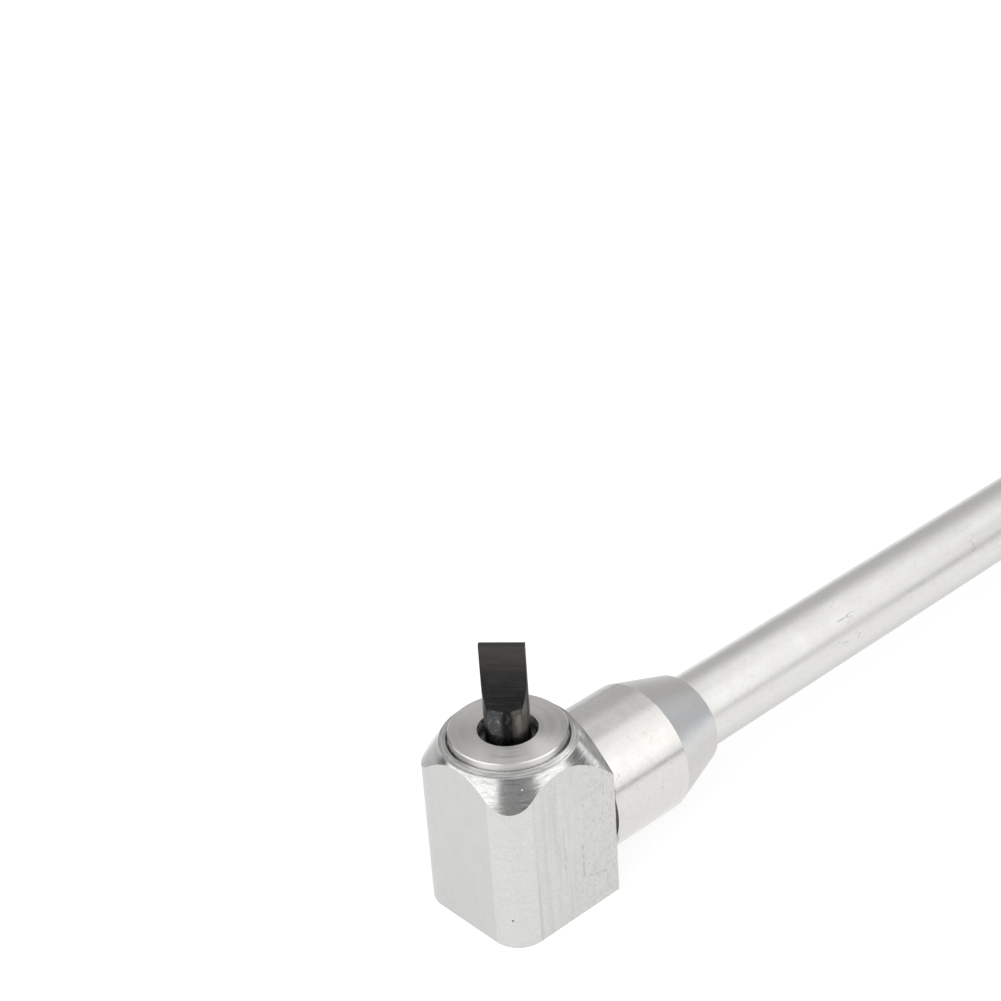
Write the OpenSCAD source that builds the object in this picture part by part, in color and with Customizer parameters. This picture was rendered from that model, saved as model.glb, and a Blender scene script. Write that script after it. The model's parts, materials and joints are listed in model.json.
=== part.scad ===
// Right-angle offset screwdriver with a bevel gear head.
// The origin is on the base of the head, on the axis of the bit.
// The bit points along +Z and the handle tube runs along +X.

/* [Head block] */
// Width of the block across its two side flats
head_w = 16; // [15:0.5:20]
// Distance from the bit axis to the front flat
head_front = 7.7; // [7.4:0.1:8.6]
// Distance from the bit axis to the flat on the tube side
head_back = 7.7; // [7.2:0.1:8.6]
// Height of the block from its base to the top of its rim
head_h = 21.4; // [21:0.1:26]
// Height of the tube axis above the base
axis_h = 9.2; // [8.6:0.1:9.6]
// Radius of the two rounded front corners
corner_r = 3.4; // [2:0.1:4.5]
// Outer radius of the sloping top rim
rim_r = 7.6; // [7.3:0.05:7.9]
// Drop of the rim from the flange to its outer edge
rim_drop = 0.3; // [0.1:0.05:0.6]
// Drop of the turned cone below the rim for each millimetre of radius
cone_slope = 1.5; // [1:0.05:2]
// Radius of the chamber that the two gears turn in
chamber_r = 5; // [4.8:0.1:5.4]

/* [Neck and collar] */
// Length of the boss that keeps the collar off the block
boss_len = 0.7; // [0.5:0.1:3]
// Diameter of that boss
boss_d = 13.2; // [12.4:0.1:14.5]
// Diameter of the spigot that enters the block
spigot_d = 10.6; // [10.4:0.1:11.4]
// Length of the spigot inside the block
spigot_len = 1.9; // [1.4:0.1:1.9]
// Diameter of the collar
collar_d = 16; // [15.2:0.1:16.4]
// Length of the straight part of the collar
collar_len = 11; // [10:0.1:16]
// Length of the tapered part of the collar
taper_len = 7.5; // [5:0.1:12]
// Diameter of the collar where its taper ends
taper_end_d = 11.4; // [10.6:0.1:12.6]

/* [Handle tube] */
// Outer diameter of the tube
tube_d = 9.3; // [8.8:0.1:9.8]
// Inner diameter of the tube
tube_bore = 7.1; // [6.2:0.1:7.4]
// Length of the tube that sits inside the collar
tube_socket = 10.8; // [6:0.1:10.8]
// Distance from the bit axis to the free end of the tube
reach = 205; // [90:1:320]

/* [Top bush] */
// Diameter of the bush flange
flange_d = 13.1; // [12.4:0.1:13.6]
// Thickness of the bush flange
flange_t = 1.2; // [1.1:0.1:1.5]
// Height of the flange above the top of the rim
flange_stand = 0.85; // [0.5:0.05:1]
// Chamfer around the flange
flange_chamfer = 0.1; // [0.1:0.05:0.4]
// Diameter of the bush body in the block
bush_d = 11.5; // [11:0.1:12]
// Bore of the bush that the spindle turns in
bush_bore = 6.7; // [6.5:0.1:7]

/* [Spindle] */
// Depth of the spindle top below the flange
spindle_recess = 1.1; // [0.5:0.1:1.5]
// Thickness of the spindle under the bit socket
socket_floor = 0.66; // [0.56:0.02:1]
// Diameter of the stem that carries the gear
stem_d = 4; // [3.6:0.1:4.4]
// Diameter of the lower journal
journal_d = 3; // [2.4:0.1:3.2]

/* [Bit] */
// Diameter of the round shank
shank_d = 5; // [4.8:0.1:5.1]
// Height of the blade tip above the flange
bit_stand = 10.7; // [8:0.1:30]
// Thickness of the blade tip
tip_t = 0.6; // [0.4:0.1:1]
// Radius of the wheel that hollow-ground the blade
grind_r = 12.4; // [10:0.2:16]
// Distance from the tip down to the thinnest place of the blade
grind_low = 1.7; // [0.5:0.1:3]
// Turn of the blade about its own axis, from the tube direction
blade_turn = -48; // [-90:1:90]
// Width across the two flats of the driving tang
tang_w = 3.2; // [2.8:0.1:3.6]
// Share of the socket's depth that the driving tang takes
tang_share = 0.36; // [0.24:0.02:0.4]

/* [Gears] */
// Tooth module at the large end
gear_module = 0.5; // [0.48:0.01:0.51]
// Number of teeth on each gear
gear_teeth = 16; // [14:1:16]
// Depth of the teeth along the gear axis
gear_face = 1.2; // [0.8:0.1:1.3]
// Play between the teeth
gear_backlash = 0.08; // [0.05:0.01:0.15]
// Diameter of the gear hubs
hub_d = 6; // [5.6:0.1:6.4]
// Length of the gear hubs behind the teeth
hub_len = 1.45; // [1.3:0.05:1.6]
// Diameter of the cross pins
pin_d = 0.8; // [0.6:0.1:1]

/* [Drive shaft and knob] */
// Diameter of the drive shaft
shaft_d = 3; // [2.5:0.1:3.5]
// Length of the knob
knob_len = 26; // [22:1:40]
// Gap under the knob when the head stands on its base
knob_lift = 0.1; // [0:0.1:1]
// Number of ridges around the grip of the knob
knurl_ridges = 40; // [24:1:48]
// Depth of the grooves between the ridges
knurl_depth = 0.35; // [0.2:0.05:0.5]
// Diameter of the set screw in the knob
set_screw_d = 2.5; // [2:0.5:3]

/* [Hidden] */
$fn = 96;

// Clearances and the overrun of cuts
overrun = 0.5;
seat_gap = 0.01;
run_gap = 0.04;
end_gap = 0.05;
flange_gap = 0.1;
edge_break = 0.25;
washer_gap = 0.08;
shaft_clear = 0.4;
bore_ahead = 0.2;

// Gear geometry, with two equal gears at right angles
pressure_angle = 20;
cone_angle = 45;
addendum_share = 1;
dedendum_share = 1.25;
tip_overrun_share = 0.4;
flank_steps = 5;
pitch_r = gear_module * gear_teeth / 2;
back_r = pitch_r / cos(cone_angle);
base_r = back_r * cos(pressure_angle);
tooth_tip_r = back_r + gear_module * addendum_share;
tooth_root_r = back_r - gear_module * dedendum_share;
tip_end_r = plane_r(tooth_tip_r);
tip_end_z = plane_z(tooth_tip_r);
root_end_r = plane_r(tooth_root_r);
root_end_z = plane_z(tooth_root_r);
gear_front = root_end_z - gear_face - gear_module * cos(cone_angle);
gear_back = root_end_z + hub_len;
hub_sunk = gear_module;
pin_z = root_end_z + hub_len / 2;

// Washers and bushes that follow the gears
washer_t = 0.4;
washer_d = 8.6;
washer_front = gear_back + end_gap;
bush_face = washer_front + washer_t + end_gap;
chamber_top = axis_h + bush_face;
chamber_floor = axis_h - chamber_r;
shoulder_z = chamber_top + end_gap;

// Lower journal and its cup
cup_wall = 1.1;
cup_floor = 0.6;
cup_rise = 0.4;
cup_depth = 2.3;
cup_z = chamber_floor - cup_depth;
journal_z = cup_z + cup_floor + end_gap;
journal_top = axis_h + gear_front;

// Spindle, ring groove and bit
flange_top = head_h + flange_stand;
spindle_top = flange_top - spindle_recess;
spindle_d = bush_bore - 2 * run_gap;
socket_d = shank_d + 2 * run_gap;
socket_z = shoulder_z + socket_floor;
socket_depth = spindle_top - socket_z;
tang_len = socket_depth * tang_share;
ring_t = 0.3;
ring_share = 0.14;
ring_down_share = 0.32;
ring_split = 0.6;
ring_h = socket_depth * ring_share;
ring_z = spindle_top - socket_depth * ring_down_share;
bit_z = socket_z + end_gap;
tip_z = flange_top + bit_stand;
grind_z = tip_z - grind_low;
bit_end_chamfer = 0.2;

// Places along the tube axis
collar_x = head_back + boss_len;
taper_x = collar_x + collar_len;
collar_end = taper_x + taper_len;
spigot_x = collar_x - boss_len - spigot_len;
bore_x = gear_front + bore_ahead;
tube_x = collar_end - tube_socket;
front_flange_t = 0.8;
front_flange_d = 8.8;
front_bush_len = 6;
counterbore_d = 9;
front_bush_x = bush_face + front_flange_t;
front_bush_end = front_bush_x + front_bush_len;
shaft_hole_d = shaft_d + 2 * shaft_clear;
rear_bush_len = 10;
rear_flange_t = 1;
rear_washer_x = reach + rear_flange_t + end_gap;
rear_washer_t = 0.5;
rear_washer_d = 7.6;
knob_x = rear_washer_x + rear_washer_t + end_gap;
shaft_x = gear_front + end_gap;

// Knob
knob_r = axis_h - knob_lift;
knob_bore_len = 18;
knob_step = 0.6;
knob_nose_len = 3.6;
knob_nose_d = 11;
knob_band_x = 6.4;
knob_band_end = 4.2;
knob_groove_len = 1;
knob_chamfer = 1;
knob_end_dish_d = 9;
knob_end_dish = 0.6;
crest_share = 0.3;
screw_socket_d = 1.5;
screw_socket_depth = 1.4;
screw_x = 3.7;
screw_sink = 0.5;
screw_len = knob_r - knob_step - screw_sink - shaft_d / 2 - seat_gap;

// Radius from the gear axis of a point on the back cone, by its unrolled radius
function plane_r(rho) = rho * cos(cone_angle);
// Distance of that point from the point where the gear axes cross
function plane_z(rho) = pitch_r / tan(cone_angle) - (rho - back_r) * sin(cone_angle);
// Involute of an angle, in degrees
function involute(a) = tan(a) * 180 / PI - a;
// Half of the tooth's angle at an unrolled radius
function half_tooth(rho) =
    let (arc = PI * gear_module / 4 - gear_backlash / 4)
    arc / back_r * 180 / PI + involute(pressure_angle) - involute(acos(min(1, base_r / rho)));
// A flank point carried to the plane at height z, on the given side of the tooth
function flank_point(rho, side, middle, z) =
    let (a = middle + side * half_tooth(max(rho, base_r)) / cos(cone_angle))
    let (r = plane_r(rho) * z / plane_z(rho))
    [r * cos(a), r * sin(a)];

// Outline of all the teeth in the plane at height z above the crossing point
function gear_outline(z) = [
    for (tooth = [0:gear_teeth - 1])
    let (middle = tooth * 360 / gear_teeth)
    let (top_r = tooth_tip_r + gear_module * tip_overrun_share)
    each concat(
        [flank_point(tooth_root_r, -1, middle, z)],
        [for (i = [0:flank_steps])
            flank_point(base_r + (top_r - base_r) * i / flank_steps, -1, middle, z)],
        [for (i = [flank_steps:-1:0])
            flank_point(base_r + (top_r - base_r) * i / flank_steps, 1, middle, z)],
        [flank_point(tooth_root_r, 1, middle, z)]
    )
];

// Ridged outline of the knob's grip
function ridge_outline() = [
    for (ridge = [0:knurl_ridges - 1])
    let (step = 360 / knurl_ridges)
    each [
        knob_r * [cos(step * (ridge - crest_share / 2)), sin(step * (ridge - crest_share / 2))],
        knob_r * [cos(step * (ridge + crest_share / 2)), sin(step * (ridge + crest_share / 2))],
        (knob_r - knurl_depth) * [cos(step * (ridge + 1 / 2)), sin(step * (ridge + 1 / 2))]
    ]
];

// Places its children on the tube axis, with their own Z along it
module on_tube_axis(x = 0) {
    translate([x, 0, axis_h]) rotate([0, 90, 0]) children();
}

// Turns its children to the pinion's mark, where a tooth gap faces a tooth of the other gear
module at_pinion_mark() {
    on_tube_axis() rotate([0, 0, 180 + 180 / gear_teeth]) children();
}

// Cross pin of the given diameter through a gear hub, beside the crossing point of the axes
module cross_pin(d) {
    translate([0, 0, pin_z]) rotate([90, 0, 0]) cylinder(d = d, h = hub_d, center = true);
}

// Flat ring
module ring(outer_d, inner_d, h) {
    difference() {
        cylinder(d = outer_d, h = h);
        translate([0, 0, -overrun]) cylinder(d = inner_d, h = h + 2 * overrun);
    }
}

// Bevel gear with its axis on Z and the crossing point of the axes at the origin
module bevel_gear(bore_d) {
    blank_top = root_end_z + overrun;
    blank_bottom = gear_front - overrun;
    front_r = gear_front * tip_end_r / tip_end_z;
    difference() {
        union() {
            intersection() {
                translate([0, 0, blank_top]) mirror([0, 0, 1])
                    linear_extrude(height = blank_top - blank_bottom, scale = blank_bottom / blank_top)
                    mirror([0, 1]) polygon(gear_outline(blank_top));
                rotate_extrude() polygon([
                    [0, gear_front], [front_r, gear_front], [tip_end_r, tip_end_z],
                    [root_end_r, root_end_z], [0, root_end_z]
                ]);
            }
            translate([0, 0, root_end_z - hub_sunk])
                cylinder(d = hub_d, h = hub_sunk + hub_len);
        }
        translate([0, 0, gear_front - overrun])
            cylinder(d = bore_d + 2 * seat_gap, h = gear_back - gear_front + 2 * overrun);
        cross_pin(pin_d + 2 * seat_gap);
    }
}

// Waste outside the rounded front corner on the low side of Y
module corner_waste() {
    translate([corner_r - head_front, corner_r - head_w / 2, -overrun]) difference() {
        translate([-corner_r - overrun, -corner_r - overrun, 0])
            cube([corner_r + overrun, corner_r + overrun, head_h + 2 * overrun]);
        translate([0, 0, -overrun]) cylinder(r = corner_r, h = head_h + 4 * overrun);
    }
}

// Square block with a sloping rim and a turned cone on top and a boss for the collar
module head_block() {
    rim_z = head_h - rim_drop;
    outer_r = norm([head_w / 2, max(head_front, head_back)]) + overrun;
    color("silver") difference() {
        union() {
            intersection() {
                translate([-head_front, -head_w / 2, 0])
                    cube([head_front + head_back, head_w, head_h]);
                rotate_extrude() polygon([
                    [0, -overrun], [outer_r, -overrun],
                    [outer_r, rim_z - (outer_r - rim_r) * cone_slope],
                    [rim_r, rim_z], [flange_d / 2 + flange_gap, head_h], [0, head_h]
                ]);
            }
            on_tube_axis(chamber_r) cylinder(d = boss_d, h = collar_x - chamber_r);
        }
        corner_waste();
        mirror([0, 1, 0]) corner_waste();
        translate([0, 0, chamber_floor])
            cylinder(r = chamber_r, h = head_h - chamber_floor);
        translate([0, 0, chamber_top])
            cylinder(d = bush_d + 2 * seat_gap, h = head_h - chamber_top + overrun);
        translate([0, 0, flange_top - flange_t - seat_gap])
            cylinder(d = flange_d + 2 * flange_gap, h = flange_t + overrun);
        translate([0, 0, cup_z])
            cylinder(d = journal_d + 2 * cup_wall + 2 * seat_gap, h = chamber_floor - cup_z + overrun);
        on_tube_axis(bore_x)
            cylinder(d = spigot_d + 2 * seat_gap, h = collar_x - bore_x + overrun);
    }
}

// Flanged bush that the spindle turns in
module top_bush() {
    color("darkgray") rotate_extrude() polygon([
        [bush_bore / 2, chamber_top],
        [bush_d / 2, chamber_top],
        [bush_d / 2, flange_top - flange_t],
        [flange_d / 2, flange_top - flange_t],
        [flange_d / 2, flange_top - flange_chamfer],
        [flange_d / 2 - flange_chamfer, flange_top],
        [bush_bore / 2, flange_top]
    ]);
}

// Blind cup in the floor of the chamber for the lower journal
module base_bush() {
    color("goldenrod") translate([0, 0, cup_z]) difference() {
        cylinder(d = journal_d + 2 * cup_wall, h = cup_depth + cup_rise);
        translate([0, 0, cup_floor])
            cylinder(d = journal_d + 2 * run_gap, h = cup_depth + cup_rise);
    }
}

// Collar that joins the tube to the block
module neck_collar() {
    color("silver") on_tube_axis() rotate_extrude() polygon([
        [counterbore_d / 2, spigot_x],
        [spigot_d / 2, spigot_x],
        [spigot_d / 2, collar_x],
        [collar_d / 2 - edge_break, collar_x],
        [collar_d / 2, collar_x + edge_break],
        [collar_d / 2, taper_x],
        [taper_end_d / 2, collar_end - edge_break],
        [taper_end_d / 2 - edge_break, collar_end],
        [tube_d / 2 + seat_gap, collar_end],
        [tube_d / 2 + seat_gap, tube_x],
        [shaft_hole_d / 2, tube_x],
        [shaft_hole_d / 2, front_bush_end],
        [tube_bore / 2 + seat_gap, front_bush_end],
        [tube_bore / 2 + seat_gap, front_bush_x],
        [counterbore_d / 2, front_bush_x]
    ]);
}

// Flanged bush in the collar that carries the gear end of the shaft
module front_shaft_bush() {
    color("goldenrod") on_tube_axis(bush_face) {
        ring(front_flange_d, shaft_d + 2 * run_gap, front_flange_t);
        ring(tube_bore, shaft_d + 2 * run_gap, front_flange_t + front_bush_len);
    }
}

// Long plain tube of the handle
module handle_tube() {
    color("silver") on_tube_axis(tube_x) ring(tube_d, tube_bore, reach - tube_x);
}

// Flanged bush in the free end of the tube
module rear_shaft_bush() {
    color("goldenrod") {
        on_tube_axis(reach) ring(tube_d, shaft_d + 2 * run_gap, rear_flange_t);
        on_tube_axis(reach - rear_bush_len)
            ring(tube_bore - 2 * seat_gap, shaft_d + 2 * run_gap, rear_bush_len + rear_flange_t);
    }
}

// Shaft from the knob to the pinion
module drive_shaft() {
    shaft_len = knob_x + knob_bore_len - end_gap - shaft_x;
    color("gray") difference() {
        on_tube_axis(shaft_x) cylinder(d = shaft_d, h = shaft_len);
        at_pinion_mark() cross_pin(pin_d + 2 * seat_gap);
    }
}

// Pinion on the shaft
module input_pinion() {
    color("dimgray") at_pinion_mark() bevel_gear(shaft_d);
}

// Cross pin through the pinion and the shaft
module pinion_pin() {
    color("gray") at_pinion_mark() cross_pin(pin_d);
}

// Washer between the pinion and the front bush
module pinion_thrust_washer() {
    color("goldenrod") on_tube_axis(washer_front)
        ring(washer_d, shaft_d + 2 * washer_gap, washer_t);
}

// Washer between the tube end and the knob
module rear_thrust_washer() {
    color("goldenrod") on_tube_axis(rear_washer_x)
        ring(rear_washer_d, shaft_d + 2 * washer_gap, rear_washer_t);
}

// Finger knob with a ridged grip, two smooth bands and a dished end
module knob() {
    grip_len = knob_len - knob_band_x - knob_band_end;
    smooth_r = knob_r - knob_step;
    color("silver") difference() {
        union() {
            on_tube_axis(knob_x) rotate_extrude() polygon([
                [0, 0],
                [knob_nose_d / 2 - knob_chamfer, 0],
                [knob_nose_d / 2, knob_chamfer],
                [knob_nose_d / 2, knob_nose_len - knob_chamfer * 2],
                [smooth_r, knob_nose_len - knob_chamfer],
                [smooth_r, knob_band_x + grip_len],
                [smooth_r - knob_step, knob_band_x + grip_len],
                [smooth_r - knob_step, knob_band_x + grip_len + knob_groove_len],
                [smooth_r, knob_band_x + grip_len + knob_groove_len],
                [smooth_r, knob_len - knob_chamfer],
                [smooth_r - knob_chamfer, knob_len],
                [knob_end_dish_d / 2, knob_len],
                [0, knob_len - knob_end_dish]
            ]);
            on_tube_axis(knob_x + knob_band_x) intersection() {
                linear_extrude(height = grip_len) polygon(ridge_outline());
                rotate_extrude() polygon([
                    [0, 0],
                    [smooth_r, 0],
                    [knob_r + overrun, knob_step + overrun],
                    [knob_r + overrun, grip_len - knob_step - overrun],
                    [smooth_r, grip_len],
                    [0, grip_len]
                ]);
            }
        }
        on_tube_axis(knob_x - overrun)
            cylinder(d = shaft_d + 2 * seat_gap, h = knob_bore_len + overrun);
        translate([knob_x + screw_x, 0, axis_h]) rotate([-90, 0, 0])
            cylinder(d = set_screw_d + 2 * seat_gap, h = knob_r + overrun);
    }
}

// Headless screw that locks the knob on the shaft
module knob_set_screw() {
    color("dimgray") translate([knob_x + screw_x, shaft_d / 2 + seat_gap, axis_h])
        rotate([-90, 0, 0]) difference() {
            cylinder(d = set_screw_d, h = screw_len);
            translate([0, 0, screw_len - screw_socket_depth])
                cylinder(d = screw_socket_d, h = screw_socket_depth + overrun, $fn = 6);
        }
}

// Spindle with a socket for the bit, a stem for the gear and a lower journal
module output_spindle() {
    color("dimgray") difference() {
        union() {
            translate([0, 0, shoulder_z]) cylinder(d = spindle_d, h = spindle_top - shoulder_z);
            translate([0, 0, journal_top])
                cylinder(d = stem_d, h = shoulder_z - journal_top + end_gap);
            translate([0, 0, journal_z]) cylinder(d = journal_d, h = shoulder_z - journal_z);
        }
        translate([0, 0, socket_z + tang_len])
            cylinder(d = socket_d, h = socket_depth - tang_len + overrun);
        rotate([0, 0, blade_turn]) intersection() {
            translate([0, 0, socket_z]) cylinder(d = socket_d, h = tang_len + overrun);
            translate([-socket_d / 2, -tang_w / 2 - run_gap, socket_z])
                cube([socket_d, tang_w + 2 * run_gap, tang_len + overrun]);
        }
        translate([0, 0, ring_z])
            cylinder(d = socket_d + 2 * ring_t + 2 * run_gap, h = ring_h + 2 * end_gap);
        translate([0, 0, axis_h]) cross_pin(pin_d + 2 * seat_gap);
    }
}

// Gear on the spindle
module output_gear() {
    color("dimgray") translate([0, 0, axis_h]) bevel_gear(stem_d);
}

// Cross pin through the gear and the spindle stem
module gear_pin() {
    color("gray") translate([0, 0, axis_h]) cross_pin(pin_d);
}

// Washer between the gear and the top bush
module spindle_thrust_washer() {
    color("goldenrod") translate([0, 0, axis_h + washer_front])
        ring(washer_d, stem_d + 2 * washer_gap, washer_t);
}

// Split spring ring in the socket that grips the shank
module bit_grip_ring() {
    color("gray") translate([0, 0, ring_z + end_gap]) difference() {
        ring(socket_d + 2 * ring_t, socket_d, ring_h);
        translate([0, -ring_split / 2, -overrun])
            cube([socket_d, ring_split, ring_h + 2 * overrun]);
    }
}

// Bit with a round shank, two hollow-ground flats and a driving tang
module screwdriver_bit() {
    wheel_y = tip_t / 2 + grind_r;
    color([0.13, 0.13, 0.13]) rotate([0, 0, blade_turn]) difference() {
        rotate_extrude() polygon([
            [0, bit_z],
            [shank_d / 2 - bit_end_chamfer, bit_z],
            [shank_d / 2, bit_z + bit_end_chamfer],
            [shank_d / 2, tip_z],
            [0, tip_z]
        ]);
        for (side = [-1, 1]) {
            translate([0, side * wheel_y, grind_z]) rotate([0, 90, 0])
                cylinder(r = grind_r, h = shank_d + overrun, center = true);
            translate([-shank_d, side > 0 ? tang_w / 2 : -shank_d - tang_w / 2, bit_z - overrun])
                cube([2 * shank_d, shank_d, tang_len + overrun]);
        }
    }
}

head_block();
top_bush();
base_bush();
neck_collar();
front_shaft_bush();
handle_tube();
rear_shaft_bush();
drive_shaft();
input_pinion();
pinion_pin();
pinion_thrust_washer();
rear_thrust_washer();
knob();
knob_set_screw();
output_spindle();
output_gear();
gear_pin();
spindle_thrust_washer();
bit_grip_ring();
screwdriver_bit();
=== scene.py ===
import json
import math

import bpy
from mathutils import Matrix, Vector

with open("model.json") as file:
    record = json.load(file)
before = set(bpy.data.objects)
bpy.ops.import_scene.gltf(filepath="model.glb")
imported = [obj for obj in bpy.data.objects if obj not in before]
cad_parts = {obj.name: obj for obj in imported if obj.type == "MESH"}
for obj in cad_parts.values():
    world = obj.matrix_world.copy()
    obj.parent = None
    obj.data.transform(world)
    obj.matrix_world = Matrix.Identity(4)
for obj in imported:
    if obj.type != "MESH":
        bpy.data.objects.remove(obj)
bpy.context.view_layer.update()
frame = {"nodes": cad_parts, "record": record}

# Sizes of the tool in metres, as in the model: the bit stands on the Z axis and the tube lies along X
AXIS_H = 0.0092
SHANK_R = 0.0025
BLADE_TIP = 0.03295
BLADE_TURN = math.radians(-48)
CORNER_X = 0.0043
CORNER_Y = 0.0046
TAPER_X = 0.0194
KNOB_GROOVE_R = 0.00882
KNOB_CREST_R = 0.00908

# Lowest place that is coloured as ground blade: the model's grinding goes on a little below it.
# That edge rises away from its middle by BLADE_CURVE times the square of the distance
BLADE_LOW = 0.0255
BLADE_CURVE = 100.0

# Depths under the round shank between which a place begins to count as ground
GROUND_DEPTH = (0.00002, 0.00007)

# Height from which the blade is browner up to its tip
TIP_LOW = 0.0285

# Radii between which the lined bore of the bush gives way to its face
BORE_EDGE = (0.0034, 0.0037)

# Compass angle from the bit axis towards the camera, in degrees from +X towards +Y
FRONT_ANGLE = -130

# Direction that the far upper side of the collar faces; the collar's painted shade is placed by how its
# normal lies against it
FAR_SIDE = (0.0, 0.6, 0.8)

# Small marks on the head: a light nick on the cone and a dark dot low on the corner
CONE_NICK = (-0.00457, -0.00691, 0.02007)
NICK_R = 0.00010
CORNER_DOT = (-0.00699, -0.00667, 0.00378)
DOT_R = 0.00012

# Dark turned lines around the rim of the head, and the painted shade beside its groove: radius, half
# width and soft edge
RIM_LINES = [(0.00700, 0.00002, 0.00006), (0.00738, 0.00003, 0.00007)]
GROOVE_SHADE = (0.00670, 0.00006, 0.00012)

# Worn lines on the right flat: what each holds, at which value, half width and soft edge,
# then what it runs along, its middle, half length and soft end, and whether it is broken up.
# The slope is the height plus LINE_SLOPE times x
FLAT_LINES = [
    ("x", -0.0001, 0.00002, 0.0001, "z", 0.0100, 0.0022, 0.001, True),
    ("x", -0.0009, 0.00002, 0.0001, "z", 0.0184, 0.0010, 0.001, True),
    ("x", -0.0041, 0.00004, 0.0003, "z", 0.0030, 0.0030, 0.003, False),
    ("slope", 0.00571, 0.00004, 0.0002, "x", 0.0043, 0.0018, 0.0005, True),
    ("x", 0.0026, 0.00004, 0.0002, "z", 0.0070, 0.0020, 0.0005, True),
]
LINE_SLOPE = 0.33

# How close the machined rings lie along the profile
RING_SCALE = 1000

# Height of machining marks, in metres
MARK_HEIGHT = 0.000003

# Half width in metres of the soft edge between two finishes
FINISH_EDGE = 0.00008
TAPER_EDGE = 0.00004

# Camera, solved from the outline of the head, the bit, the collar and the tube
CAMERA_PLACE = (-0.125701, -0.147842, 0.16071)
CAMERA_AIM = (0.046838, 0.052961, 0.010)
CAMERA_ROLL = math.radians(4.1952)
LENS_MM = 79.667
SENSOR_MM = 36
CAMERA_NEAR = 0.01
CAMERA_FAR = 20

# Floor: pale and partly luminous, so that it is as white as the surroundings
FLOOR_SIZE = 3.0
FLOOR_DROP = 0.00002
FLOOR_COLOUR = (0.35, 0.35, 0.35, 1)
FLOOR_GLOW = 0.76
FLOOR_ROUGHNESS = 0.9
FLOOR_SHINE = 0.1

# Soft light from the right
LIGHT_PLACE = (0.50, -0.62, 0.46)
LIGHT_AIM = (0.02, 0, 0.012)
LIGHT_SIZE = 0.36
LIGHT_RADIANCE = 0.15

# Brightness of the surroundings at the horizon, above it and overhead
HORIZON_LIGHT = 1.0
SIDE_LIGHT = 1.38
OVERHEAD_LIGHT = 0.92

# Grey cards: compass angle, inner and outer half width in degrees, whether the upper edge leans,
# the heights between which the upper edge fades out (0 level, 1 straight up), and the brightness
CARDS = [
    (35, 66, 86, True, 0.63, 0.79, 0.58),
    (78, 12, 24, False, 0.78, 0.86, 0.52),
    (-12, 30, 44, False, 0.15, 0.23, 0.20),
    (-58, 24, 34, False, 0.05, 0.12, 0.43),
    (104, 14, 24, False, 0.16, 0.30, 0.22),
    (-123, 25, 31, False, 0.62, 0.78, 0.27),
]

# A leaning edge is highest at this compass angle and comes down on both sides of it
CARD_LEAN = 0.3
CARD_LEAN_ANGLE = 35

# Dim patch in the ceiling: its direction, the cosines at its edge and inside, and its brightness
PATCH_DIRECTION = (0.242, 0.242, 0.940)
PATCH_EDGE = (0.970, 0.992)
PATCH_LIGHT = 0.60


# Thin layer over a node tree: adds nodes and links sockets or sets their values
class Tree:
    def __init__(self, tree):
        self.tree = tree

    def add(self, kind, inputs=None, **settings):
        node = self.tree.nodes.new(kind)
        for key, value in settings.items():
            setattr(node, key, value)
        for key, value in (inputs or {}).items():
            self.put(node.inputs[key], value)
        return node

    def put(self, socket, value):
        if isinstance(value, bpy.types.NodeSocket):
            self.tree.links.new(value, socket)
        else:
            socket.default_value = value

    def math(self, operation, a, b=0.0):
        return self.add("ShaderNodeMath", {0: a, 1: b}, operation=operation).outputs[0]

    def plus(self, a, b):
        return self.math("ADD", a, b)

    def minus(self, a, b):
        return self.math("SUBTRACT", a, b)

    # Product of two or more values
    def times(self, first, *others):
        for other in others:
            first = self.math("MULTIPLY", first, other)
        return first

    def larger(self, a, b):
        return self.math("MAXIMUM", a, b)

    def vector(self, operation, a, b=(0, 0, 0)):
        node = self.add("ShaderNodeVectorMath", {0: a, 1: b}, operation=operation)
        return node.outputs["Value" if operation in ("DOT_PRODUCT", "LENGTH") else "Vector"]

    def dot(self, a, b):
        return self.vector("DOT_PRODUCT", a, b)

    def length(self, a):
        return self.vector("LENGTH", a)

    def joined(self, x, y, z):
        return self.add("ShaderNodeCombineXYZ", {0: x, 1: y, 2: z}).outputs[0]

    def parts(self, vector):
        return self.add("ShaderNodeSeparateXYZ", {0: vector}).outputs

    # Value carried smoothly from one range to another, clamped
    def span(self, value, low, high, to_low=0.0, to_high=1.0):
        node = self.add(
            "ShaderNodeMapRange",
            {"Value": value, "From Min": low, "From Max": high, "To Min": to_low, "To Max": to_high},
            interpolation_type="SMOOTHSTEP",
        )
        return node.outputs["Result"]

    def noise(self, vector, scale, detail, roughness):
        node = self.add(
            "ShaderNodeTexNoise",
            {"Vector": vector, "Scale": scale, "Detail": detail, "Roughness": roughness},
        )
        return node.outputs[0]

    def mix(self, factor, a, b):
        node = self.add("ShaderNodeMix", data_type="RGBA")
        self.put(node.inputs[0], factor)
        self.put(node.inputs[6], a)
        self.put(node.inputs[7], b)
        return node.outputs[2]

    def blend(self, factor, a, b):
        node = self.add("ShaderNodeMix", data_type="FLOAT")
        self.put(node.inputs[0], factor)
        self.put(node.inputs[2], a)
        self.put(node.inputs[3], b)
        return node.outputs[0]

    def bump(self, height, distance):
        node = self.add("ShaderNodeBump", {"Height": height, "Distance": distance, "Strength": 1.0})
        return node.outputs[0]


# New material with a metal shader, and its node tree
def new_metal(name):
    material = bpy.data.materials.new(name)
    material.use_nodes = True
    tree = Tree(material.node_tree)
    shader = material.node_tree.nodes["Principled BSDF"]
    shader.inputs["Metallic"].default_value = 1.0
    return material, tree, shader


# Colour, roughness and height of the marks of a metal
def finish_metal(tree, shader, colour, rough, height, distance=MARK_HEIGHT):
    tree.put(shader.inputs["Base Color"], colour)
    tree.put(shader.inputs["Roughness"], rough)
    tree.put(shader.inputs["Normal"], tree.bump(height, distance))


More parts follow.
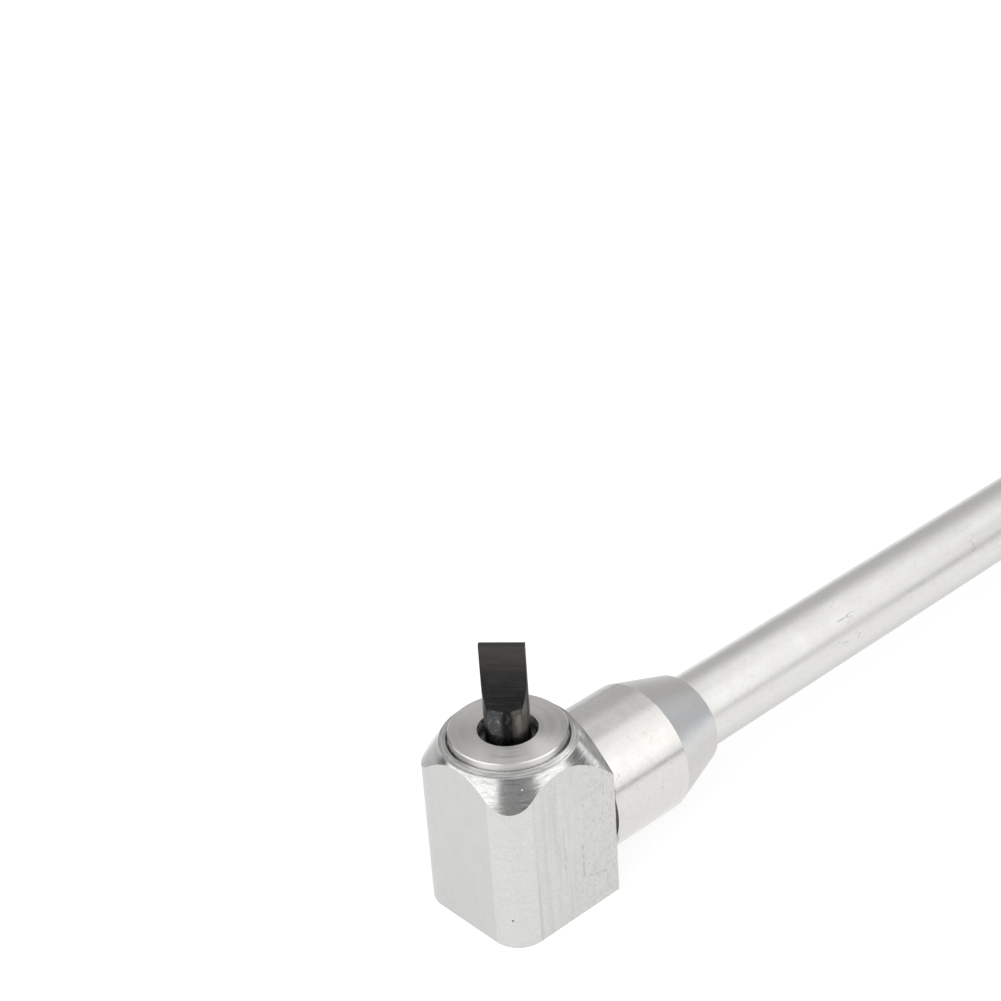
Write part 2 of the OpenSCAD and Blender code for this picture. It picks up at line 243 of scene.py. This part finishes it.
# Place on the object and its own normal, both in the object's coordinates
def surface(tree):
    out = tree.add("ShaderNodeTexCoord").outputs
    return out["Object"], out["Normal"]


# Distance from an axis through the origin, by the two coordinates across it
def axis_distance(tree, a, b):
    return tree.length(tree.joined(a, b, 0.0))


# Level direction of a compass angle, from +X towards +Y
def compass(angle):
    return (math.cos(math.radians(angle)), math.sin(math.radians(angle)), 0)


# Level direction away from the Z axis
def level_direction(tree, x, y):
    return tree.vector("NORMALIZE", tree.joined(x, y, 0.0))


# Share of the directions about a compass angle: the full amount up to the inner angle from it,
# none past the outer angle
def sector(tree, level, toward, inner, outer, amount=1.0):
    cosine = tree.dot(level, compass(toward))
    return tree.span(cosine, math.cos(math.radians(outer)), math.cos(math.radians(inner)), 0.0, amount)


# Share of the surface where a value is above a limit, soft by as much on both sides of it
def above(tree, value, limit, soft):
    return tree.span(value, limit - soft, limit + soft)


# Share of the surface where a value is below a limit, soft by as much on both sides of it
def below(tree, value, limit, soft):
    return tree.span(value, limit - soft, limit + soft, 1.0, 0.0)


# Share of the surface where a value lies within half of the middle, soft at both ends
def stripe(tree, value, middle, half, soft):
    off = tree.math("ABSOLUTE", tree.minus(value, middle))
    return tree.span(off, half, half + soft, 1.0, 0.0)


# Small round spot about a place on the surface
def spot(tree, place, middle, radius):
    away = tree.length(tree.vector("SUBTRACT", place, middle))
    return tree.span(away, radius * 0.6, radius * 1.3, 1.0, 0.0)


# Coordinates stretched along the axes, for drawn and milled streaks
def streak_space(tree, place, scales):
    return tree.vector("MULTIPLY", place, scales)


# Coordinates whose noise makes rings about an axis: little change around it, much along the profile
def ring_space(tree, place, axis, around):
    x, y, z = tree.parts(place)
    if axis == "Z":
        a, b, c = x, y, z
    else:
        a, b, c = y, tree.minus(z, AXIS_H), x
    radius = axis_distance(tree, a, b)
    safe = tree.larger(radius, 1e-6)
    profile = tree.plus(tree.times(c, 1.3), radius)
    return tree.joined(
        tree.times(tree.math("DIVIDE", a, safe), around),
        tree.times(tree.math("DIVIDE", b, safe), around),
        tree.times(profile, RING_SCALE),
    )


# Fine scratches: thin lines that a stretched noise leaves near its middle value
def scratches(tree, vector, scale, width, amount):
    off = tree.math("ABSOLUTE", tree.minus(tree.noise(vector, scale, 2.0, 0.5), 0.5))
    return tree.times(tree.span(off, 0.0, width, 1.0, 0.0), amount)


# Faint warm stain in patches, broken up by the grain
def blush(tree, place, grain, scale):
    patches = tree.span(tree.noise(place, scale, 2.0, 0.6), 0.45, 0.62)
    return tree.times(patches, tree.span(grain, 0.42, 0.60), 0.3)


# Dark marks that use has left on the right flat of the head: worn lines, a bent scratch and mottle
def flat_marks(tree, place, right_flat):
    x, _, z = tree.parts(place)
    held = {"x": x, "z": z, "slope": tree.plus(z, tree.times(x, LINE_SLOPE))}
    broken = tree.span(tree.noise(place, 1500, 2.0, 0.6), 0.42, 0.56)
    marks = 0.0
    for across, at, half, soft, along, middle, reach, end, is_broken in FLAT_LINES:
        line = stripe(tree, held[across], at, half, soft)
        line = tree.times(line, stripe(tree, held[along], middle, reach, end))
        if is_broken:
            line = tree.times(line, broken)
        marks = tree.larger(line, marks)
    dashes = tree.noise(streak_space(tree, place, (1.0, 1.0, 0.55)), 3300, 3.0, 0.7)
    mottled = tree.times(tree.span(dashes, 0.49, 0.64), tree.span(x, -0.0005, 0.005))
    return tree.times(tree.larger(tree.times(marks, 0.34), tree.times(mottled, 0.19)), right_flat)


# Dark turned lines around the rim, and the shade beside its groove on the left and the right
def rim_lines_and_groove_shade(tree, radius, outward, ring_wide):
    lines = 0.0
    for at, half, soft in RIM_LINES:
        lines = tree.larger(stripe(tree, radius, at, half, soft), lines)
    lines = tree.times(lines, tree.span(ring_wide, 0.35, 0.6, 0.15, 0.4))
    frontal = tree.math("ABSOLUTE", tree.dot(outward, compass(FRONT_ANGLE)))
    sides = tree.span(frontal, 0.45, 0.85, 1.0, 0.0)
    # Painted shade beside the groove, drawn only where the rim is seen side-on from the camera
    return tree.larger(lines, tree.times(sides, stripe(tree, radius, *GROOVE_SHADE)))


# Colour of the turned cone and rim: polished and cut rings, and painted shade in a sector behind and in
# one on the left
def turned_shades(tree, colour, place, turned, ring_fine, ring_wide):
    polished = (0.92, 0.92, 0.92, 1)
    behind_shade = (0.42, 0.41, 0.40, 1)
    left_shade = (0.35, 0.35, 0.345, 1)
    cut = (0.30, 0.30, 0.295, 1)
    # The line colour also paints the shade beside the groove
    line = (0.08, 0.08, 0.08, 1)
    x, y = tree.parts(place)[:2]
    outward = level_direction(tree, x, y)
    radius = axis_distance(tree, x, y)
    colour = tree.mix(tree.times(tree.span(ring_fine, 0.54, 0.70, 0.0, 0.45), turned), colour, polished)
    # Painted shade: the cone darker in the sector behind, facing away from the camera
    colour = tree.mix(tree.times(sector(tree, outward, 0, 21.6, 38.7, 0.7), turned), colour, behind_shade)
    on_cone = above(tree, radius, 0.0076, 0.0002)
    # Painted shade: the cone darker again in a sector on the left
    colour = tree.mix(tree.times(sector(tree, outward, 148, 8.1, 27.1), turned, on_cone), colour, left_shade)
    colour = tree.mix(tree.times(tree.span(ring_fine, 0.46, 0.36, 0.0, 0.4), turned), colour, cut)
    return tree.mix(tree.times(rim_lines_and_groove_shade(tree, radius, outward, ring_wide), turned), colour, line)


# Milled bar of the head: streaked flats, rounded front corners, turned cone and rim
def milled_aluminium():
    flat_bare = (0.625, 0.626, 0.618, 1)
    right_bare = (0.668, 0.662, 0.636, 1)
    corner_bare = (0.705, 0.70, 0.685, 1)
    turned_bare = (0.79, 0.79, 0.78, 1)
    banded = (0.47, 0.47, 0.465, 1)
    grain_dark = (0.44, 0.44, 0.43, 1)
    grain_light = (0.78, 0.78, 0.77, 1)
    mark = (0.20, 0.20, 0.195, 1)
    dot = (0.06, 0.06, 0.06, 1)
    nicked = (0.80, 0.80, 0.80, 1)
    material, tree, shader = new_metal("milled_aluminium")
    place, normal = surface(tree)
    x, y = tree.parts(place)[:2]
    ny, nz = tree.parts(normal)[1:]
    rings = ring_space(tree, place, "Z", 0.7)
    ring_fine = tree.noise(rings, 9.0, 3.0, 0.6)
    ring_wide = tree.noise(rings, 2.2, 2.0, 0.5)
    bars = streak_space(tree, place, (1.0, 1.0, 0.06))
    bar_fine = tree.noise(bars, 9000, 3.0, 0.6)
    bar_wide = tree.noise(bars, 1600, 2.0, 0.55)
    steps = streak_space(tree, place, (0.05, 0.05, 1.0))
    step_fine = tree.noise(steps, 7000, 2.0, 0.6)
    step_wide = tree.noise(steps, 2600, 2.0, 0.5)
    mottle = tree.noise(place, 420, 4.0, 0.6)
    grain = tree.noise(place, 5200, 3.0, 0.7)
    turned = tree.span(nz, 0.2, 0.4)
    right_flat = tree.times(tree.span(ny, -0.97, -0.8, 1.0, 0.0), tree.span(x, -0.0044, -0.0036))
    corner = tree.times(below(tree, x, -CORNER_X, FINISH_EDGE), below(tree, y, -CORNER_Y, FINISH_EDGE))
    streaks = tree.blend(turned, tree.blend(corner, bar_fine, step_fine), ring_fine)
    bands = tree.blend(turned, tree.blend(corner, bar_wide, step_wide), ring_wide)
    colour = tree.mix(right_flat, flat_bare, right_bare)
    colour = tree.mix(tree.times(corner, tree.minus(1.0, turned)), colour, corner_bare)
    colour = tree.mix(turned, colour, turned_bare)
    band_share = tree.blend(turned, tree.blend(corner, 0.08, 0.14), 0.40)
    band_share = tree.times(tree.span(bands, 0.3, 0.7), band_share)
    worn = tree.times(stripe(tree, x, -0.0010, 0.0012, 0.0022), right_flat)
    worn = tree.times(worn, tree.span(bar_wide, 0.42, 0.62, 0.0, 0.20))
    colour = tree.mix(tree.plus(band_share, worn), colour, banded)
    colour = tree.mix(tree.span(grain, 0.40, 0.62, 0.24, 0.0), colour, grain_dark)
    colour = tree.mix(tree.span(grain, 0.56, 0.76, 0.0, 0.42), colour, grain_light)
    colour = turned_shades(tree, colour, place, turned, ring_fine, ring_wide)
    colour = tree.mix(flat_marks(tree, place, right_flat), colour, mark)
    colour = tree.mix(spot(tree, place, CORNER_DOT, DOT_R), colour, dot)
    nick = spot(tree, place, CONE_NICK, NICK_R)
    colour = tree.mix(nick, colour, nicked)
    flat_rough = tree.span(mottle, 0.3, 0.7, 0.32, 0.44)
    turned_rough = tree.span(ring_wide, 0.3, 0.7, 0.14, 0.26)
    rough = tree.blend(nick, tree.blend(turned, flat_rough, turned_rough), 0.75)
    height = tree.times(tree.plus(streaks, tree.times(bands, 0.7)), tree.blend(turned, 1.0, 1.8))
    finish_metal(tree, shader, colour, rough, height, 0.0000035)
    return material


# Turned collar: rings about the tube axis, two bands of painted shade along the straight part by which
# way the surface faces, and a greyer taper with a painted highlight
def turned_aluminium():
    bare = (0.69, 0.68, 0.655, 1)
    ringed = (0.62, 0.62, 0.62, 1)
    taper_bare = (0.59, 0.585, 0.57, 1)
    taper_highlight = (0.75, 0.77, 0.79, 1)
    band_shade = (0.47, 0.465, 0.45, 1)
    far_shade = (0.36, 0.355, 0.345, 1)
    blushed = (0.70, 0.61, 0.59, 1)
    grain_dark = (0.40, 0.39, 0.37, 1)
    grain_light = (0.86, 0.86, 0.85, 1)
    nicked = (0.28, 0.27, 0.26, 1)
    highlight_direction = (0.29, -0.70, 0.65)
    material, tree, shader = new_metal("turned_aluminium")
    place, normal = surface(tree)
    rings = ring_space(tree, place, "X", 0.5)
    fine = tree.noise(rings, 8.0, 3.0, 0.6)
    wide = tree.noise(rings, 1.6, 2.0, 0.5)
    mottle = tree.noise(place, 500, 4.0, 0.6)
    grain = tree.noise(place, 2600, 4.0, 0.75)
    taper = above(tree, tree.parts(place)[0], TAPER_X, TAPER_EDGE)
    straight = tree.minus(1.0, taper)
    far = tree.dot(normal, FAR_SIDE)
    cool_highlight = tree.span(tree.dot(normal, highlight_direction), 0.86, 0.99, 0.0, 0.75)
    colour = tree.mix(tree.span(wide, 0.3, 0.7, 0.0, 0.2), bare, ringed)
    colour = tree.mix(tree.times(taper, 0.8), colour, taper_bare)
    # Painted shade: a darker band where the normal lies at a set angle from the far upper side
    colour = tree.mix(tree.times(stripe(tree, far, 0.62, 0.03, 0.14), straight), colour, band_shade)
    # Painted shade: the far upper side darker
    colour = tree.mix(tree.times(tree.span(far, 0.94, 0.98), straight), colour, far_shade)
    # Painted highlight: a cool light patch on the taper where it faces the front and above
    colour = tree.mix(tree.times(taper, cool_highlight), colour, taper_highlight)
    colour = tree.mix(blush(tree, place, grain, 700), colour, blushed)
    colour = tree.mix(tree.span(grain, 0.56, 0.72, 0.0, 0.36), colour, grain_dark)
    colour = tree.mix(tree.span(grain, 0.42, 0.28, 0.0, 0.3), colour, grain_light)
    nicks = scratches(tree, streak_space(tree, place, (1.0, 0.35, 0.5)), 900, 0.010, 0.35)
    nicks = tree.times(nicks, tree.span(tree.noise(place, 420, 1.0, 0.5), 0.57, 0.64))
    colour = tree.mix(nicks, colour, nicked)
    rough = tree.blend(taper, tree.span(mottle, 0.3, 0.7, 0.17, 0.24), 0.40)
    finish_metal(tree, shader, colour, rough, tree.plus(fine, tree.times(wide, 0.6)))
    return material


# Drawn tube: streaks along its length, painted shade on its lower side and a few scratches
def drawn_aluminium():
    bare = (0.72, 0.715, 0.695, 1)
    streaked = (0.61, 0.61, 0.61, 1)
    lower_shade = (0.52, 0.52, 0.51, 1)
    blushed = (0.71, 0.62, 0.60, 1)
    grain_dark = (0.40, 0.39, 0.37, 1)
    scratched = (0.40, 0.40, 0.41, 1)
    material, tree, shader = new_metal("drawn_aluminium")
    place, normal = surface(tree)
    drawn = streak_space(tree, place, (0.03, 1.0, 1.0))
    fine = tree.noise(drawn, 6000, 3.0, 0.6)
    wide = tree.noise(drawn, 1100, 2.0, 0.5)
    mottle = tree.noise(place, 300, 4.0, 0.6)
    grain = tree.noise(place, 2600, 4.0, 0.75)
    marks = scratches(tree, streak_space(tree, place, (0.16, 1.0, 1.0)), 620, 0.008, 0.7)
    marks = tree.times(marks, tree.span(tree.noise(place, 160, 1.0, 0.5), 0.56, 0.66))
    colour = tree.mix(tree.span(wide, 0.3, 0.7, 0.0, 0.2), bare, streaked)
    # Painted shade: the side facing down darker
    colour = tree.mix(tree.span(tree.parts(normal)[2], -0.65, 0.0, 0.9, 0.0), colour, lower_shade)
    colour = tree.mix(blush(tree, place, grain, 600), colour, blushed)
    colour = tree.mix(tree.span(grain, 0.56, 0.72, 0.0, 0.42), colour, grain_dark)
    colour = tree.mix(marks, colour, scratched)
    height = tree.minus(tree.plus(fine, wide), tree.times(marks, 2.0))
    finish_metal(tree, shader, colour, tree.span(mottle, 0.3, 0.7, 0.27, 0.34), height)
    return material


# Knob: turned bands and a grip with rubbed ridges
def knob_aluminium():
    bare = (0.68, 0.68, 0.67, 1)
    ringed = (0.55, 0.55, 0.56, 1)
    rubbed = (0.76, 0.76, 0.75, 1)
    material, tree, shader = new_metal("knob_aluminium")
    place = surface(tree)[0]
    rings = ring_space(tree, place, "X", 0.5)
    fine = tree.noise(rings, 7.0, 3.0, 0.6)
    wide = tree.noise(rings, 1.4, 2.0, 0.5)
    mottle = tree.noise(place, 380, 4.0, 0.6)
    y, z = tree.parts(place)[1:]
    radius = axis_distance(tree, y, tree.minus(z, AXIS_H))
    crest = tree.span(radius, KNOB_GROOVE_R, KNOB_CREST_R)
    colour = tree.mix(tree.span(wide, 0.3, 0.7, 0.0, 0.25), bare, ringed)
    colour = tree.mix(tree.times(crest, 0.5), colour, rubbed)
    rough = tree.span(mottle, 0.3, 0.7, 0.26, 0.4)
    finish_metal(tree, shader, colour, rough, tree.plus(fine, tree.times(wide, 0.6)))
    return material


# Faced bush: rings and fine speckle on top with painted highlights towards the front, a chamfer and a
# side wall in sectors of painted highlight and painted shade, and a bore in painted shade with painted
# glints on its turned rings. The shine is stretched around the bush, as on a turned face
def bush_steel():
    bare = (0.60, 0.585, 0.56, 1)
    ringed = (0.47, 0.46, 0.445, 1)
    speckled = (0.76, 0.75, 0.73, 1)
    front_highlight = (0.95, 0.94, 0.92, 1)
    nearest_highlight = (0.98, 0.97, 0.95, 1)
    chamfer_shade = (0.50, 0.49, 0.48, 1)
    chamfer_highlight = (0.80, 0.79, 0.78, 1)
    wall_shade = (0.42, 0.41, 0.40, 1)
    wall_highlight = (0.80, 0.79, 0.78, 1)
    bore_shade = (0.18, 0.175, 0.17, 1)
    bore_ring_glint = (0.95, 0.94, 0.92, 1)
    material, tree, shader = new_metal("bush_steel")
    place, normal = surface(tree)
    x, y = tree.parts(place)[:2]
    nz = tree.parts(normal)[2]
    rings = ring_space(tree, place, "Z", 0.35)
    fine = tree.noise(rings, 12.0, 3.0, 0.65)
    wide = tree.noise(rings, 2.5, 2.0, 0.5)
    speckle = tree.noise(place, 7000, 3.0, 0.7)
    outward = level_direction(tree, x, y)
    top = tree.span(nz, 0.85, 0.97)
    wall = tree.span(nz, 0.1, 0.3, 1.0, 0.0)
    bore = tree.times(
        tree.span(axis_distance(tree, x, y), *BORE_EDGE, 1.0, 0.0),
        tree.span(nz, 0.4, 0.6, 1.0, 0.0),
    )
    face = tree.mix(tree.span(wide, 0.3, 0.7, 0.0, 0.35), bare, ringed)
    face = tree.mix(tree.span(speckle, 0.55, 0.75, 0.0, 0.3), face, speckled)
    # Painted highlights on the top face towards the front, strongest where it faces the camera
    face = tree.mix(sector(tree, outward, -119, 0, 66.4, 0.52), face, front_highlight)
    face = tree.mix(sector(tree, outward, FRONT_ANGLE, 0, 21.6, 0.6), face, nearest_highlight)
    # Painted highlights and painted shade on the chamfer and the side wall, by sector
    lit = tree.larger(sector(tree, outward, -160, 9.9, 25), sector(tree, outward, -100, 12, 28))
    edge = tree.mix(lit, chamfer_shade, chamfer_highlight)
    edge = tree.mix(wall, edge, tree.mix(sector(tree, outward, -125, 28.4, 53.1), wall_shade, wall_highlight))
    colour = tree.mix(top, edge, face)
    # Painted shade in the bore, with painted glints along its turned rings
    colour = tree.mix(bore, colour, tree.mix(tree.span(fine, 0.50, 0.58), bore_shade, bore_ring_glint))
    rough = tree.blend(top, tree.blend(wall, 0.22, 0.50), tree.span(wide, 0.3, 0.7, 0.44, 0.54))
    finish_metal(tree, shader, colour, rough, tree.plus(fine, tree.times(speckle, 0.3)))
    shader.inputs["Anisotropic"].default_value = 0.75
    shader.inputs["Anisotropic Rotation"].default_value = 0.25
    around = tree.add("ShaderNodeTangent", direction_type="RADIAL", axis="Z")
    tree.put(shader.inputs["Tangent"], around.outputs[0])
    return material


# Plain bearing bronze, a little tarnished
def bronze():
    bare = (0.66, 0.47, 0.24, 1)
    tarnished = (0.42, 0.29, 0.15, 1)
    material, tree, shader = new_metal("bronze")
    place = surface(tree)[0]
    stain = tree.noise(place, 600, 5.0, 0.6)
    fine = tree.noise(ring_space(tree, place, "X", 0.5), 10.0, 3.0, 0.6)
    colour = tree.mix(tree.span(stain, 0.35, 0.7), bare, tarnished)
    finish_metal(tree, shader, colour, tree.span(stain, 0.3, 0.7, 0.26, 0.48), fine)
    return material


# Ground steel rod
def ground_steel():
    bare = (0.60, 0.60, 0.59, 1)
    stained = (0.45, 0.45, 0.46, 1)
    material, tree, shader = new_metal("ground_steel")
    place = surface(tree)[0]
    fine = tree.noise(ring_space(tree, place, "X", 0.5), 14.0, 3.0, 0.6)
    stain = tree.noise(place, 500, 4.0, 0.6)
    colour = tree.mix(tree.span(stain, 0.35, 0.7, 0.0, 0.6), bare, stained)
    finish_metal(tree, shader, colour, tree.span(fine, 0.3, 0.7, 0.18, 0.3), fine, 0.000002)
    return material


# Blackened steel with a trace of oil and bright rubbed rings
def dark_steel():
    oiled = (0.065, 0.065, 0.068, 1)
    dry = (0.035, 0.035, 0.035, 1)
    rubbed = (0.40, 0.40, 0.39, 1)
    material, tree, shader = new_metal("dark_steel")
    place = surface(tree)[0]
    fine = tree.noise(ring_space(tree, place, "Z", 0.4), 9.0, 3.0, 0.6)
    stain = tree.noise(place, 900, 4.0, 0.6)
    colour = tree.mix(tree.span(stain, 0.35, 0.7), oiled, dry)
    colour = tree.mix(tree.span(fine, 0.6, 0.68, 0.0, 0.6), colour, rubbed)
    finish_metal(tree, shader, colour, tree.span(stain, 0.3, 0.7, 0.24, 0.42), fine)
    return material


# Round shank of the bit: dark oxide, painted highlight strips on the left and the right, and scuffs and
# hairlines that show mostly within the left strip
def shank_colour(tree, place, oxide, scuff, along, across):
    darker = (0.01, 0.01, 0.01, 1)
    left_highlight = (0.13, 0.136, 0.142, 1)
    right_highlight = (0.185, 0.18, 0.16, 1)
    scuffed = (0.30, 0.31, 0.32, 1)
    hairline = (0.50, 0.51, 0.52, 1)
    x, y, z = tree.parts(place)
    outward = level_direction(tree, x, y)
    # Painted highlights: strips on the left and the right of the shank, by the direction it faces
    left = sector(tree, outward, -165, 0, 25.8)
    right = sector(tree, outward, -93, 0, 30.7)
    upright = tree.noise(streak_space(tree, place, (1.0, 1.0, 0.2)), 2200, 3.0, 0.6)
    right = tree.times(right, tree.span(upright, 0.3, 0.6, 0.5, 1.0))
    colour = tree.mix(right, tree.mix(0.35, oxide, darker), right_highlight)
    colour = tree.mix(tree.times(left, 0.8), colour, left_highlight)
    # Scuffs and hairlines are real marks, drawn mostly where the left painted highlight lies
    scuffs = tree.times(tree.span(scuff, 0.52, 0.62), tree.span(left, 0.0, 0.7, 0.2, 0.8))
    colour = tree.mix(scuffs, colour, scuffed)
    hairs = scratches(tree, tree.joined(along, across, tree.times(z, 1.6)), 620, 0.012, 0.4)
    return tree.mix(tree.times(hairs, tree.span(left, 0.0, 0.5)), colour, hairline)


# Black oxide bit: a blade with ground lines across it on a round shank
def black_oxide_steel():
    oxide_dark = (0.026, 0.026, 0.027, 1)
    oxide_brown = (0.035, 0.033, 0.033, 1)
    tip_lighter = (0.082, 0.077, 0.070, 1)
    ground_line = (0.085, 0.083, 0.08, 1)
    material, tree, shader = new_metal("black_oxide_steel")
    place = surface(tree)[0]
    x, y, z = tree.parts(place)
    across = tree.dot(place, (math.sin(BLADE_TURN), -math.cos(BLADE_TURN), 0))
    along = tree.dot(place, (math.cos(BLADE_TURN), math.sin(BLADE_TURN), 0))
    blade = tree.joined(tree.times(along, 0.04), tree.times(across, 0.3), z)
    ground = tree.noise(blade, 11000, 3.0, 0.65)
    ground_wide = tree.noise(blade, 2500, 2.0, 0.5)
    stain = tree.noise(place, 500, 4.0, 0.6)
    scuff = tree.noise(streak_space(tree, place, (1.0, 1.0, 0.7)), 1500, 5.0, 0.75)
    depth = tree.minus(SHANK_R, axis_distance(tree, x, y))
    foot = tree.minus(z, tree.times(along, along, BLADE_CURVE))
    on_blade = tree.times(tree.span(depth, *GROUND_DEPTH), above(tree, foot, BLADE_LOW, FINISH_EDGE))
    oxide = tree.mix(tree.span(stain, 0.35, 0.65), oxide_dark, oxide_brown)
    # The blade lighter and browner towards its tip
    oxide = tree.mix(tree.times(tree.span(z, TIP_LOW, BLADE_TIP), 0.7), oxide, tip_lighter)
    lined = tree.mix(tree.span(ground, 0.45, 0.75, 0.0, 0.38), oxide, ground_line)
    colour = tree.mix(on_blade, shank_colour(tree, place, oxide, scuff, along, across), lined)
    shank_rough = tree.span(scuff, 0.3, 0.7, 0.28, 0.42)
    rough = tree.blend(on_blade, shank_rough, tree.span(ground_wide, 0.3, 0.7, 0.34, 0.5))
    height = tree.blend(on_blade, scuff, tree.plus(ground, ground_wide))
    finish_metal(tree, shader, colour, rough, height, 0.000004)
    return material


# What makes the material of each slot
MATERIALS = {
    "milled_aluminium": milled_aluminium,
    "turned_aluminium": turned_aluminium,
    "drawn_aluminium": drawn_aluminium,
    "knob_aluminium": knob_aluminium,
    "bush_steel": bush_steel,
    "bronze": bronze,
    "ground_steel": ground_steel,
    "dark_steel": dark_steel,
    "black_oxide_steel": black_oxide_steel,
}


# Gives every node of the model the material of its slot
def dress_nodes():
    made = {name: make() for name, make in MATERIALS.items()}
    for part in frame["record"]["subparts"]:
        node = frame["nodes"][part["node"]]
        for slot in node.material_slots:
            slot.material = made[part["material_slot"]]


# Camera at the photograph's viewing angle
def make_camera():
    place = Vector(CAMERA_PLACE)
    forward = (Vector(CAMERA_AIM) - place).normalized()
    level = forward.cross(Vector((0, 0, 1))).normalized()
    down = forward.cross(level)
    right = level * math.cos(CAMERA_ROLL) + down * math.sin(CAMERA_ROLL)
    up = right.cross(forward)
    data = bpy.data.cameras.new("camera")
    data.sensor_fit = "HORIZONTAL"
    data.sensor_width = SENSOR_MM
    data.lens = LENS_MM
    data.clip_start = CAMERA_NEAR
    data.clip_end = CAMERA_FAR
    camera = bpy.data.objects.new("camera", data)
    turn = Matrix((right, up, -forward)).transposed()
    camera.matrix_world = Matrix.Translation(place) @ turn.to_4x4()
    bpy.context.scene.collection.objects.link(camera)
    bpy.context.scene.camera = camera


# Large plain floor under the tool
def make_floor():
    half = FLOOR_SIZE / 2
    corners = [(-half, -half, 0), (half, -half, 0), (half, half, 0), (-half, half, 0)]
    mesh = bpy.data.meshes.new("floor")
    mesh.from_pydata(corners, [], [(0, 1, 2, 3)])
    floor = bpy.data.objects.new("floor", mesh)
    floor.location.z = -FLOOR_DROP
    material = bpy.data.materials.new("floor")
    material.use_nodes = True
    shader = material.node_tree.nodes["Principled BSDF"]
    shader.inputs["Base Color"].default_value = FLOOR_COLOUR
    shader.inputs["Roughness"].default_value = FLOOR_ROUGHNESS
    shader.inputs["Specular IOR Level"].default_value = FLOOR_SHINE
    shader.inputs["Emission Color"].default_value = (1, 1, 1, 1)
    shader.inputs["Emission Strength"].default_value = FLOOR_GLOW
    mesh.materials.append(material)
    bpy.context.scene.collection.objects.link(floor)


# White surroundings with grey cards and a dim patch in the ceiling, which the metal reflects
def make_world():
    world = bpy.data.worlds.new("studio")
    bpy.context.scene.world = world
    world.use_nodes = True
    tree = Tree(world.node_tree)
    direction = tree.add("ShaderNodeTexCoord").outputs["Generated"]
    x, y, z = tree.parts(direction)
    level = level_direction(tree, x, y)
    light = tree.span(z, 0.02, 0.14, HORIZON_LIGHT, SIDE_LIGHT)
    light = tree.blend(tree.span(z, 0.72, 0.93), light, OVERHEAD_LIGHT)
    aside = tree.minus(1.0, tree.dot(level, compass(CARD_LEAN_ANGLE)))
    leaning = tree.plus(z, tree.times(aside, CARD_LEAN))
    for toward, inner, outer, leans, low, high, value in CARDS:
        height = tree.span(leaning if leans else z, low, high, 1.0, 0.0)
        share = tree.times(sector(tree, level, toward, inner, outer), height)
        light = tree.blend(share, light, value)
    patch = tree.span(tree.dot(direction, PATCH_DIRECTION), *PATCH_EDGE)
    light = tree.blend(patch, light, PATCH_LIGHT)
    background = world.node_tree.nodes["Background"]
    tree.put(background.inputs["Color"], (1.0, 1.0, 1.0, 1))
    tree.put(background.inputs["Strength"], light)


# Soft area light on the right, aimed at the head
def make_light():
    data = bpy.data.lights.new("right_side", "AREA")
    data.shape = "SQUARE"
    data.size = LIGHT_SIZE
    data.energy = LIGHT_RADIANCE * math.pi * LIGHT_SIZE * LIGHT_SIZE
    light = bpy.data.objects.new("right_side", data)
    light.location = LIGHT_PLACE
    aim = Vector(LIGHT_AIM) - Vector(LIGHT_PLACE)
    light.rotation_euler = aim.to_track_quat("-Z", "Y").to_euler()
    bpy.context.scene.collection.objects.link(light)


make_camera()
make_floor()
make_world()
make_light()
dress_nodes()
bpy.context.scene.view_settings.view_transform = "Standard"
